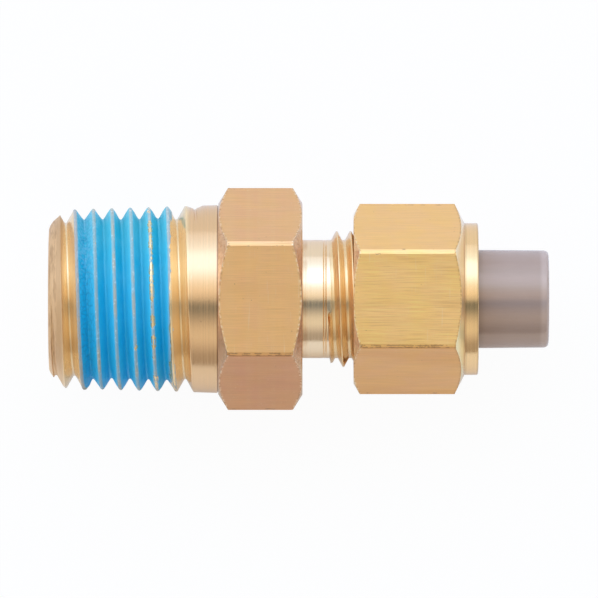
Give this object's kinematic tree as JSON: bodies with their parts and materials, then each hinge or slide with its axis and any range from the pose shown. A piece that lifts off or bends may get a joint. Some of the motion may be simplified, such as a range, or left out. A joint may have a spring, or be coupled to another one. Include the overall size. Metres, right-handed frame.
{
  "type": "male compression tube fitting",
  "caption": "Male tube connector: tapered pipe thread lined with blue sealing compound, hexagon body, union nut on a fine thread and a grey clamping sleeve.",
  "frame": {"origin": "on the common axis, at the small end face of the taper thread", "axes": "+X along the axis towards the sleeve, +Z square to the top flat of both hexagons, corners of the hexagons towards +Y and -Y"},
  "size_m": [0.0363, 0.016, 0.014],
  "materials": {
    "body_brass": "turned, satin",
    "nut_brass": "drawn bar, satin",
    "blue_sealant": "cured, pitted",
    "grey_sleeve": "moulded, satin"
  },
  "bodies": {
    "connector": {"connector_body": "body_brass", "thread_sealant": "blue_sealant"},
    "sleeve": {"sleeve": "grey_sleeve"},
    "nut": {"union_nut": "nut_brass"}
  },
  "joints": [
    {"name": "sleeve_slide", "type": "slide", "parent": "connector", "child": "sleeve", "axis": [1, 0, 0], "range_m": [-0.00101, 0.00601]},
    {"name": "nut_turn", "type": "hinge", "parent": "sleeve", "child": "nut", "pos_m": [0.0265, 0, 0], "axis": [1, 0, 0], "range_deg": [-360, 2160]}
  ],
  "couplings": [
    {"joint": "sleeve_slide", "follows": "nut_turn", "m_per_rad": 0.00015915}
  ]
}
